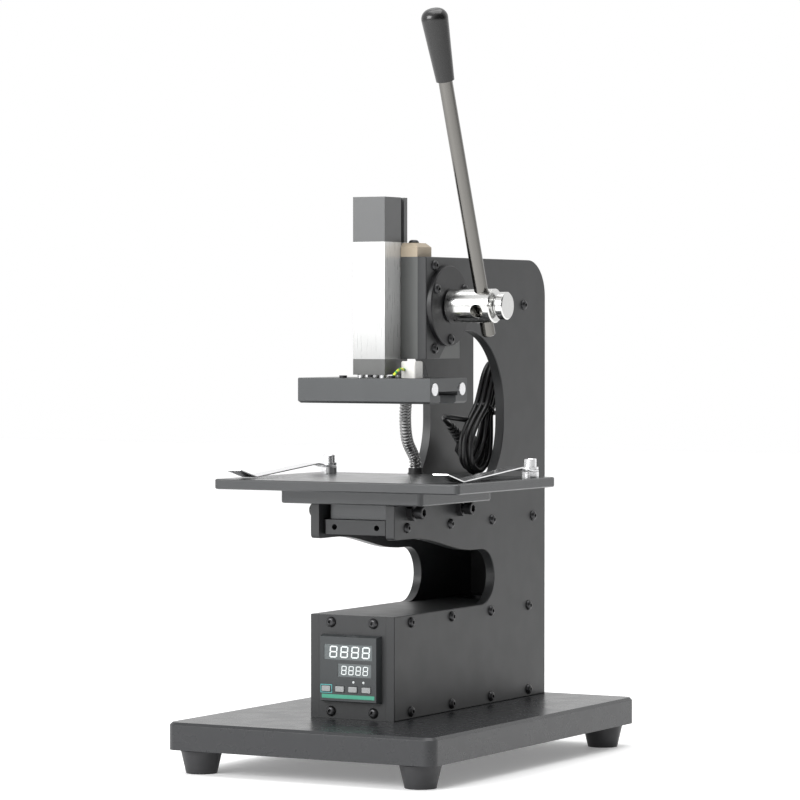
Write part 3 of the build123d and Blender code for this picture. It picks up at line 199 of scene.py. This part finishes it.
def hank_points():
    """The turns of the tied hank, a long loop pinched at its waist, laid side by side.

    Each lap goes over the top, down the front side, round the bottom and up the back side,
    then crosses to the next turn.  The last lap ends at the waist, where the tail leaves."""
    points = []
    for index, (layer, down, wide, up, top, waist) in enumerate(TURNS):
        last = index == len(TURNS) - 1
        following = layer if last else TURNS[index + 1][0]
        over = [(up * 0.62, top), (up * 0.88, top * 0.78), (up, 0), (up * 0.88, -top * 0.78),
                (up * 0.62, -top), (up * 0.30, -(top + waist) / 2), (0, -waist)]
        under = [
            (-down * 0.18, -waist - (wide - waist) * 0.35), (-down * 0.42, -wide * 0.88),
            (-down * 0.66, -wide), (-down * 0.86, -wide * 0.78), (-down * 0.985, -wide * 0.34),
            (-down * 0.985, wide * 0.34), (-down * 0.86, wide * 0.78), (-down * 0.66, wide),
            (-down * 0.42, wide * 0.88), (-down * 0.18, waist + (wide - waist) * 0.35),
            (0, waist), (up * 0.30, (top + waist) / 2),
        ]
        lap = over if last else over + under
        for step, (length, width) in enumerate(lap):
            share = max(0.0, (step - 14) / 5)
            points.append(hank_place(length, width, layer + (following - layer) * share))
    return points


CORD_ROUTE = LEAD[:-1] + hank_points() + TAIL
cord_line = route_points(CORD_ROUTE)
cord = link("mains_cord", route_curve("mains_cord", CORD_ROUTE, CORD_R), "frame")
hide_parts("power_cord", "cord_hank", "cord_tail")
PLUG_DIR = Vector((0, 0.86, -0.51)).normalized()
PLUG_START = TAIL[-1]


def frame_on(origin, forward):
    """A matrix whose Z runs along forward and whose X stays level."""
    z = forward.normalized()
    x = Vector((1, 0, 0))
    y = z.cross(x).normalized()
    matrix = Matrix((x, y, z)).transposed().to_4x4()
    matrix.translation = origin
    return matrix


def lathe(name, profile, sides=48):
    """A solid of revolution about Z from (radius, height) pairs, closed on the axis."""
    vertices, faces = [], []
    for radius, height in profile:
        for k in range(sides):
            angle = 2 * math.pi * k / sides
            vertices.append((radius * math.cos(angle), radius * math.sin(angle), height))
    for i in range(len(profile) - 1):
        for k in range(sides):
            a, b = i * sides + k, i * sides + (k + 1) % sides
            faces.append((a, b, b + sides, a + sides))
    faces.append(tuple(reversed(range(sides))))
    last = (len(profile) - 1) * sides
    faces.append(tuple(range(last, last + sides)))
    return mesh_from(name, vertices, faces)


def bar(mesh, low, high):
    """Adds a plain bar between two corners to a bmesh."""
    made = bmesh.ops.create_cube(mesh, size=1.0)["verts"]
    middle, size = (low + high) / 2, high - low
    for vertex in made:
        vertex.co = Vector((vertex.co.x * size.x, vertex.co.y * size.y, vertex.co.z * size.z)) + middle
    return made


def finished(mesh, name):
    data = bpy.data.meshes.new(name)
    mesh.to_mesh(data)
    mesh.free()
    return data


def make_plug():
    """A moulded plug with a ribbed strain relief, on the end of the cord."""
    profile = [(2.3, 0.0), (2.6, 0.2)]
    ribs = 6
    for i in range(ribs):
        start = 0.6 + i * 4.2
        radius = 3.1 + i * 0.32
        profile += [(radius, start), (radius + 0.15, start + 0.4), (radius + 0.15, start + 2.4),
                    (radius, start + 2.8), (radius - 0.8, start + 3.1), (radius - 0.8, start + 3.9)]
    profile.append((4.9, 26.0))
    relief = lathe("relief", [(r * MM, z * MM) for r, z in profile], 40)
    mesh = bmesh.new()
    mesh.from_mesh(relief)
    body = bmesh.ops.create_cube(mesh, size=1.0)["verts"]
    for vertex in body:
        taper = 0.86 if vertex.co.z < 0 else 1.0
        vertex.co = Vector((vertex.co.x * 16 * taper, vertex.co.y * 20 * taper,
                            (vertex.co.z + 0.5) * 26 + 26)) * MM
    edges = {edge for vertex in body for edge in vertex.link_edges}
    bmesh.ops.bevel(mesh, geom=list(edges), offset=2.4 * MM, segments=4, affect="EDGES")
    data = finished(mesh, "plug_body")
    data.transform(frame_on(PLUG_START, PLUG_DIR))
    piece = link("plug_body", data, "frame")
    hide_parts("plug")
    return piece


def make_tie(name, centre, along_x, across, thick):
    """A wire tie: a flattened ring round the bundle."""
    points = []
    steps = 40
    for i in range(steps):
        angle = 2 * math.pi * i / steps
        flat = 1.0 / max(abs(math.cos(angle)) ** 0.7, abs(math.sin(angle)) ** 0.7, 0.6) * 0.93
        points.append(centre + Vector((math.cos(angle) * along_x * flat, 0, 0))
                      + HANK_ACROSS * math.sin(angle) * across * flat)
    vertices, faces, sides = [], [], 10
    for i, place in enumerate(points):
        direction = (points[(i + 1) % steps] - points[i - 1]).normalized()
        out = direction.cross(HANK_AXIS).normalized()
        for k in range(sides):
            angle = 2 * math.pi * k / sides
            vertices.append(place + out * math.cos(angle) * thick * 0.55
                            + HANK_AXIS * math.sin(angle) * thick)
    for i in range(steps):
        for k in range(sides):
            a, b = i * sides + k, i * sides + (k + 1) % sides
            c, d = ((i + 1) % steps) * sides + (k + 1) % sides, ((i + 1) % steps) * sides + k
            faces.append((a, b, c, d))
    return link(name, mesh_from(name, vertices, faces), "frame")


plug = make_plug()
waist_tie = make_tie("waist_tie", WAIST, 6.7 * MM, 8.6 * MM, 1.1 * MM)


# ------------------------------------------------------------------ conduit
CONDUIT_ROUTE = [
    mm(-4, -2.9, 269), mm(-4, 4, 269), mm(-7, 10.5, 263.5), mm(-11, 15.5, 254.5),
    mm(-14.5, 21.5, 245), mm(-17.5, 28, 236), mm(-19.8, 35, 228.5), mm(-21, 43, 222.5),
    mm(-21, 48.8, 216.5), mm(-21, 48.8, 210),
]


def make_conduit():
    """Spiral metal hose: a round-backed rib wound round the tube."""
    pitch = 3.0 * MM
    valley, rib = 3.45, 1.0

    def radius_at(distance, angle):
        wave = 0.5 + 0.5 * math.cos(2 * math.pi * distance / pitch - angle)
        return (valley + rib * wave ** 0.8) * MM

    data = turned_tube("conduit_hose", route_points(CONDUIT_ROUTE), 0.26 * MM, 30, radius_at)
    piece = bpy.data.objects.new("conduit_hose", data)
    bpy.context.scene.collection.objects.link(piece)
    data.shade_smooth()
    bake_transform(piece)
    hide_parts("conduit")
    return piece


conduit = make_conduit()

# ------------------------------------------------- controller face details
FACE_Y = -88.0
SEGMENTS = {
    "a": ((0.12, 0.93), (0.88, 1.0)), "b": ((0.9, 0.53), (1.0, 0.95)), "c": ((0.9, 0.05), (1.0, 0.47)),
    "d": ((0.12, 0.0), (0.88, 0.07)), "e": ((0.0, 0.05), (0.1, 0.47)), "f": ((0.0, 0.53), (0.1, 0.95)),
    "g": ((0.12, 0.465), (0.88, 0.535)),
}
FIGURE_NEAR, FIGURE_FAR = FACE_Y + 0.06, FACE_Y + 0.2
FIGURE_LEAN, SEGMENT_WIDTH = 0.08, 0.16
PANEL_FRONT, PANEL_BACK = -88.12, -87.98


def make_digits(name, count, left, bottom, width, height, gap):
    """Seven-segment figures on the display window, every segment drawn; their material adds a painted
    glow.
    """
    mesh = bmesh.new()
    thick = SEGMENT_WIDTH * width
    for place in range(count):
        x0 = left + place * (width + gap)
        for key, ((u0, v0), (u1, v1)) in SEGMENTS.items():
            low = Vector((x0 + u0 * width, 0, bottom + v0 * height))
            high = Vector((x0 + u1 * width, 0, bottom + v1 * height))
            if key in "adg":
                middle = (low.z + high.z) / 2
                low.z, high.z = middle - thick / 2, middle + thick / 2
            else:
                middle = (low.x + high.x) / 2
                low.x, high.x = middle - thick / 2, middle + thick / 2
            low.y, high.y = FIGURE_NEAR, FIGURE_FAR
            for vertex in bar(mesh, low * MM, high * MM):
                vertex.co.x += FIGURE_LEAN * (vertex.co.z - bottom * MM)
    return link(name, finished(mesh, name), "frame", smooth=False)


upper_digits = make_digits("upper_digits", 4, -15.2, 80.6, 5.9, 8.0, 2.9)
lower_digits = make_digits("lower_digits", 4, -5.6, 68.6, 3.9, 6.2, 1.9)


def make_flat(name, low, high, rim=0.0):
    """A thin raised panel on the controller's face, hollow if it has a rim."""
    mesh = bmesh.new()
    if rim:
        bar(mesh, mm(low[0], low[1], low[2]), mm(high[0], high[1], low[2] + rim))
        bar(mesh, mm(low[0], low[1], high[2] - rim), mm(high[0], high[1], high[2]))
        bar(mesh, mm(low[0], low[1], low[2] + rim), mm(low[0] + rim, high[1], high[2] - rim))
        bar(mesh, mm(high[0] - rim, low[1], low[2] + rim), mm(high[0], high[1], high[2] - rim))
    else:
        bar(mesh, mm(*low), mm(*high))
    return link(name, finished(mesh, name), "frame", smooth=False)


green_band = make_flat("bezel_band", (-21.4, PANEL_FRONT, 51.6), (21.4, PANEL_BACK, 54.4))
set_mark = make_flat("set_button_frame", (-22.4, PANEL_FRONT, 55.3), (-13.0, PANEL_BACK, 61.3),
                     rim=0.5)
LAMP_X, LAMP_Z, LAMP_R, LAMP_TOP_R, LAMP_WALL, LAMP_H = (4.4, 12.5), 63.5, 0.9, 0.5, 0.10, 0.2
lamps = []
for number, x in enumerate(LAMP_X):
    lamp_profile = [(LAMP_R * MM, 0.0), (LAMP_R * MM, LAMP_WALL * MM), (LAMP_TOP_R * MM, LAMP_H * MM)]
    lamp_mesh = lathe(f"status_lamp_{number}", lamp_profile, 24)
    lamp_mesh.transform(frame_on(mm(x, PANEL_BACK, LAMP_Z), Vector((0, -1, 0))))
    lamps.append(link(f"status_lamp_{number}", lamp_mesh, "frame"))

# ---------------------------------------------------- earth wire on the ram
EARTH_ROUTE = [mm(21, -44.2, 284), mm(21, -48, 284.5), mm(20.5, -52.5, 283.5), mm(20, -56, 281),
               mm(20, -57.5, 279.6)]
EARTH_R = 1.1 * MM
earth_mesh = turned_tube("earth_wire", route_points(EARTH_ROUTE), 0.4 * MM, 14,
                         lambda distance, angle: EARTH_R)
earth_wire = link("earth_wire", earth_mesh, "ram")


# ---------------------------------------------------------------- materials
class Shader:
    """A small builder for one procedural material."""

    def __init__(self, name, color, metallic, roughness):
        self.material = bpy.data.materials.new(name)
        self.material.use_nodes = True
        self.tree = self.material.node_tree
        self.bsdf = self.tree.nodes["Principled BSDF"]
        self.bsdf.inputs["Base Color"].default_value = (*color, 1)
        self.bsdf.inputs["Metallic"].default_value = metallic
        self.bsdf.inputs["Roughness"].default_value = roughness
        self.color = color
        self.coords = self.node("ShaderNodeTexCoord").outputs["Object"]
        self.normal = None

    def node(self, kind, **inputs):
        node = self.tree.nodes.new(kind)
        for key, value in inputs.items():
            node.inputs[key.replace("_", " ")].default_value = value
        return node

    def wire(self, output, target):
        self.tree.links.new(output, target)

    def noise(self, scale, detail=3.0, stretch=(1, 1, 1)):
        mapping = self.node("ShaderNodeMapping")
        mapping.inputs["Scale"].default_value = stretch
        self.wire(self.coords, mapping.inputs["Vector"])
        noise = self.node("ShaderNodeTexNoise", Scale=scale, Detail=detail)
        self.wire(mapping.outputs["Vector"], noise.inputs["Vector"])
        return noise.outputs["Fac"]

    def ramp(self, value, low, high, start=0.35, end=0.65):
        """A number that goes from low to high as value crosses start to end."""
        node = self.node("ShaderNodeMapRange")
        node.inputs["From Min"].default_value = start
        node.inputs["From Max"].default_value = end
        node.inputs["To Min"].default_value = low
        node.inputs["To Max"].default_value = high
        self.wire(value, node.inputs["Value"])
        return node.outputs["Result"]

    def tint(self, value, low, high):
        """Mixes the base colour between two brightnesses of itself."""
        mix = self.node("ShaderNodeMix")
        mix.data_type = "RGBA"
        mix.inputs[6].default_value = (*[c * low for c in self.color], 1)
        mix.inputs[7].default_value = (*[c * high for c in self.color], 1)
        self.wire(value, mix.inputs[0])
        self.wire(mix.outputs[2], self.bsdf.inputs["Base Color"])

    def rough(self, value, low, high):
        self.wire(self.ramp(value, low, high), self.bsdf.inputs["Roughness"])

    def bump(self, value, height_mm, strength=1.0):
        node = self.node("ShaderNodeBump", Strength=strength, Distance=height_mm * MM)
        self.wire(value, node.inputs["Height"])
        if self.normal:
            self.wire(self.normal, node.inputs["Normal"])
        self.normal = node.outputs["Normal"]
        self.wire(self.normal, self.bsdf.inputs["Normal"])

    def soft_edges(self, radius_mm):
        """Rounds the look of sharp edges, so that they catch the light."""
        node = self.node("ShaderNodeBevel", Radius=radius_mm * MM)
        node.samples = 4
        self.normal = node.outputs["Normal"]
        self.wire(self.normal, self.bsdf.inputs["Normal"])


def anodised(name, color, roughness, metallic=0.55):
    """Bead-blasted and anodised aluminium, with faint handling marks."""
    shader = Shader(name, color, metallic, roughness)
    shader.soft_edges(0.35)
    shader.bump(shader.noise(2600, 2), 0.012, 0.5)
    broad = shader.noise(22, 4)
    shader.tint(broad, 0.975, 1.03)
    shader.rough(shader.noise(60, 5), roughness - 0.015, roughness + 0.025)
    return shader.material


def ground_steel(name, color, roughness, stretch, edge=0.3, depth=0.003):
    """Bright steel with a fine ground grain along one axis."""
    shader = Shader(name, color, 1.0, roughness)
    shader.soft_edges(edge)
    grain = shader.noise(1500, 4, stretch)
    shader.bump(grain, depth, 0.3)
    shader.tint(shader.noise(40, 3), 0.97, 1.02)
    shader.rough(grain, roughness - 0.03, roughness + 0.05)
    return shader.material


def shaded_steel_bar(name):
    """A satin steel bar, bright at the top, with painted shade greying its lower half."""
    shader = Shader(name, (0.66, 0.665, 0.66), 0.45, 0.30)
    shader.soft_edges(0.3)
    grain = shader.noise(1100, 4, (1, 1, 0.05))
    shader.bump(grain, 0.001, 0.3)
    shader.rough(grain, 0.27, 0.34)
    height = shader.node("ShaderNodeSeparateXYZ")
    shader.wire(shader.node("ShaderNodeTexCoord").outputs["Generated"], height.inputs[0])
    # Painted shade: the colour is darkened towards the bottom of the bar, over its lower half.
    shader.tint(shader.ramp(height.outputs[2], 0.0, 1.0, 0.0, 0.5), 0.62, 1.0)
    return shader.material


def plated(name, color, roughness):
    """Plated or polished metal, with slight clouding."""
    shader = Shader(name, color, 1.0, roughness)
    shader.soft_edges(0.2)
    shader.rough(shader.noise(150, 4), roughness - 0.03, roughness + 0.06)
    shader.tint(shader.noise(60, 2), 0.94, 1.03)
    shader.bump(shader.noise(900, 2), 0.003, 0.3)
    return shader.material


def moulded(name, color, roughness, grain_mm=0.01, grain=1800, coat=0.0):
    """Moulded plastic or rubber with a fine spark-eroded grain."""
    shader = Shader(name, color, 0.0, roughness)
    shader.soft_edges(0.25)
    shader.bsdf.inputs["Coat Weight"].default_value = coat
    shader.bsdf.inputs["Coat Roughness"].default_value = 0.08
    shader.bump(shader.noise(grain, 3), grain_mm, 0.5)
    shader.tint(shader.noise(70, 4), 0.9, 1.12)
    shader.rough(shader.noise(120, 4), roughness - 0.05, roughness + 0.06)
    return shader.material


# Painted glow: an emission on parts that give no light of their own.
def painted_glow(name, color, strength):
    shader = Shader(name, color, 0.0, 0.4)
    shader.tint(shader.noise(400, 2), 0.92, 1.06)
    shader.bsdf.inputs["Emission Color"].default_value = (*color, 1)
    shader.bsdf.inputs["Emission Strength"].default_value = strength
    return shader.material


def striped_wire(name):
    """Yellow sleeve with a green stripe wound along it."""
    shader = Shader(name, (0.72, 0.78, 0.05), 0.0, 0.35)
    wave = shader.node("ShaderNodeTexWave", Scale=90.0, Distortion=0.0)
    wave.bands_direction = "DIAGONAL"
    shader.wire(shader.coords, wave.inputs["Vector"])
    mix = shader.node("ShaderNodeMix")
    mix.data_type = "RGBA"
    mix.inputs[6].default_value = (0.78, 0.80, 0.05, 1)
    mix.inputs[7].default_value = (0.10, 0.42, 0.08, 1)
    shader.wire(shader.ramp(wave.outputs["Fac"], 0.0, 1.0, 0.5, 0.6), mix.inputs[0])
    shader.wire(mix.outputs[2], shader.bsdf.inputs["Base Color"])
    return shader.material


# Noise scales that draw the grain out along one axis
ALONG_X, ALONG_Y, ALONG_Z = (0.03, 1, 1), (1, 0.03, 1), (1, 1, 0.03)
PLATE_BLACK = anodised("plate_black", (0.024, 0.025, 0.026), 0.40, 0.15)
BASE_BLACK = anodised("base_black", (0.020, 0.021, 0.023), 0.27, 0.10)
FLANGE_BLACK = anodised("flange_black", (0.007, 0.007, 0.008), 0.42, 0.05)
TABLE_GREY = anodised("table_grey", (0.078, 0.080, 0.082), 0.24)
HEAD_GREY = anodised("head_grey", (0.105, 0.108, 0.106), 0.36)
HEATER_GREY = anodised("heater_grey", (0.072, 0.075, 0.077), 0.36)
RAM_STEEL = ground_steel("ram_steel", (0.80, 0.80, 0.81), 0.26, ALONG_Z, depth=0.0015)
# The ram's face carries painted shade over its lower half.
RAM_FACE_PAINTED_SHADE = shaded_steel_bar("ram_face_painted_shade")
RAM_BLACK = anodised("ram_black", (0.11, 0.112, 0.113), 0.40, 0.45)
ROD_STEEL = ground_steel("rod_steel", (0.17, 0.165, 0.155), 0.16, ALONG_X)
CLIP_STEEL = ground_steel("clip_steel", (0.88, 0.88, 0.89), 0.22, ALONG_Y, 0.1)
BRIGHT_CHROME = plated("bright_chrome", (0.68, 0.68, 0.67), 0.16)
HOSE_CHROME = plated("hose_chrome", (0.34, 0.34, 0.34), 0.20)
BLACK_OXIDE = anodised("black_oxide", (0.045, 0.045, 0.047), 0.30, 0.75)
BRASS = plated("bearing_brass", (0.72, 0.52, 0.24), 0.28)
RUBBER = moulded("foot_rubber", (0.014, 0.014, 0.016), 0.50, 0.02, 1200)
TAN = moulded("wiper_tan", (0.40, 0.335, 0.25), 0.55, 0.02, 900)
BLOCK = moulded("insulating_block", (0.10, 0.102, 0.10), 0.34, 0.01, 900)
CERAMIC = moulded("white_ceramic", (0.86, 0.85, 0.82), 0.30, 0.01, 700, 0.4)
CASE = moulded("controller_case", (0.030, 0.034, 0.036), 0.45)
WINDOW = moulded("display_window", (0.060, 0.075, 0.078), 0.22, 0.002, 500, 0.6)
KEYS = moulded("key_grey", (0.30, 0.31, 0.31), 0.5)
GRIP = moulded("grip_gloss", (0.006, 0.006, 0.006), 0.24, 0.004, 300, 0.15)
PLASTIC = moulded("black_plastic", (0.020, 0.020, 0.021), 0.42)
CORD_PVC = moulded("cord_pvc", (0.012, 0.012, 0.013), 0.34, 0.008, 900)
BAND = moulded("band_green", (0.05, 0.30, 0.20), 0.45)
TEAL = moulded("mark_teal", (0.10, 0.42, 0.42), 0.45)
# The figures and the status lamps, which are off, get a painted glow.
FIGURES_PAINTED_GLOW = painted_glow("figures", (0.62, 0.66, 0.66), 0.35)
LAMP_OFF_PAINTED_GLOW = painted_glow("lamp", (0.55, 0.58, 0.58), 0.15)
EARTH = striped_wire("earth_sleeve")

NODE_MATERIALS = {
    PLATE_BLACK: ("side_plate_left", "side_plate_right", "bottom_spacer", "arm_spacer", "table_spacer",
                  "column_spacer", "front_cover", "rear_cover", "deck_cover"),
    BASE_BLACK: ("base_plate",),
    FLANGE_BLACK: ("bearing_ring_left", "bearing_flange_right"),
    TABLE_GREY: ("table_plate", "sub_plate", "table_slide"),
    HEAD_GREY: ("guide_block",),
    HEATER_GREY: ("heater_plate",),
    RAM_FACE_PAINTED_SHADE: ("ram",),
    RAM_STEEL: ("rack", "heater_standoffs", "cartridge_heaters", "plug_blades"),
    RAM_BLACK: ("ram_top",),
    ROD_STEEL: ("lever_rod", "pinion_shaft"),
    CLIP_STEEL: ("clip_left", "clip_right", "clip_bolts", "clip_spacers"),
    BRIGHT_CHROME: ("lever_hub", "hub_knob", "conduit_ferrule"),
    BLACK_OXIDE: ("frame_screws", "base_screws", "foot_screws", "clamp_bolts", "clamp_nuts",
                  "plate_screws", "pinion"),
    BRASS: ("ram_gibs", "shaft_bushes"),
    RUBBER: ("rubber_feet",),
    TAN: ("wiper_plate",),
    BLOCK: ("ram_foot",),
    CERAMIC: ("terminal_block",),
    CASE: ("controller_body", "controller_bezel"),
    WINDOW: ("display_window",),
    KEYS: ("button_set", "button_shift", "button_down", "button_up"),
    GRIP: ("lever_grip",),
    PLASTIC: ("conduit_gland", "cable_gland"),
}
PIECE_MATERIALS = {
    CORD_PVC: (cord,),
    PLASTIC: (plug, waist_tie),
    HOSE_CHROME: (conduit,),
    FIGURES_PAINTED_GLOW: (upper_digits, lower_digits),
    BAND: (green_band,),
    TEAL: (set_mark,),
    LAMP_OFF_PAINTED_GLOW: tuple(lamps),
    EARTH: (earth_wire,),
}


def dress(piece, material):
    piece.data.materials.clear()
    piece.data.materials.append(material)


for material, names in NODE_MATERIALS.items():
    for name in names:
        dress(NODES[name], material)
for material, pieces in PIECE_MATERIALS.items():
    for piece in pieces:
        dress(piece, material)


# -------------------------------------------------------------- floor, light
def make_stage():
    mesh = bmesh.new()
    bmesh.ops.create_grid(mesh, x_segments=1, y_segments=1, size=6.0)
    floor = bpy.data.objects.new("floor", finished(mesh, "floor"))
    bpy.context.scene.collection.objects.link(floor)
    shader = Shader("floor_white", (0.93, 0.93, 0.93), 0.0, 0.6)
    shader.tint(shader.noise(3, 2), 0.995, 1.005)
    shader.bsdf.inputs["Emission Color"].default_value = (1, 1, 1, 1)
    shader.bsdf.inputs["Emission Strength"].default_value = 0.22
    dress(floor, shader.material)


def area_light(name, place, aim, size, power):
    data = bpy.data.lights.new(name, "AREA")
    data.shape, data.size, data.size_y, data.energy = "RECTANGLE", size[0], size[1], power
    light = bpy.data.objects.new(name, data)
    bpy.context.scene.collection.objects.link(light)
    light.location = place
    light.rotation_euler = (Vector(aim) - Vector(place)).to_track_quat("-Z", "Y").to_euler()


# The world is white but for a dim patch on the right, so that right-hand faces read darker.
DIM_TOWARD, DIM_FROM, DIM_TO, DIM_STRENGTH = (0.97, -0.24, 0.0), 0.40, 0.80, 0.10


def make_light():
    world = bpy.data.worlds.new("studio")
    bpy.context.scene.world = world
    world.use_nodes = True
    tree = world.node_tree
    background = tree.nodes["Background"]
    coords = tree.nodes.new("ShaderNodeTexCoord")
    direction = tree.nodes.new("ShaderNodeVectorMath")
    direction.operation = "DOT_PRODUCT"
    direction.inputs[1].default_value = DIM_TOWARD
    falloff = tree.nodes.new("ShaderNodeMapRange")
    falloff.inputs["From Min"].default_value = DIM_FROM
    falloff.inputs["From Max"].default_value = DIM_TO
    falloff.inputs["To Min"].default_value = 1.0
    falloff.inputs["To Max"].default_value = DIM_STRENGTH
    tree.links.new(coords.outputs["Generated"], direction.inputs[0])
    tree.links.new(direction.outputs["Value"], falloff.inputs["Value"])
    tree.links.new(falloff.outputs["Result"], background.inputs["Strength"])
    background.inputs["Color"].default_value = (1.0, 1.0, 1.0, 1)
    middle = (0, 0, 0.25)
    area_light("key", (-1.0, -2.6, 1.5), middle, (1.8, 1.4), 70)
    area_light("top", (0.1, 0.1, 2.4), middle, (2.0, 2.0), 30)
    bpy.context.scene.view_settings.view_transform = "Standard"


make_stage()
make_light()

bpy.context.view_layer.update()
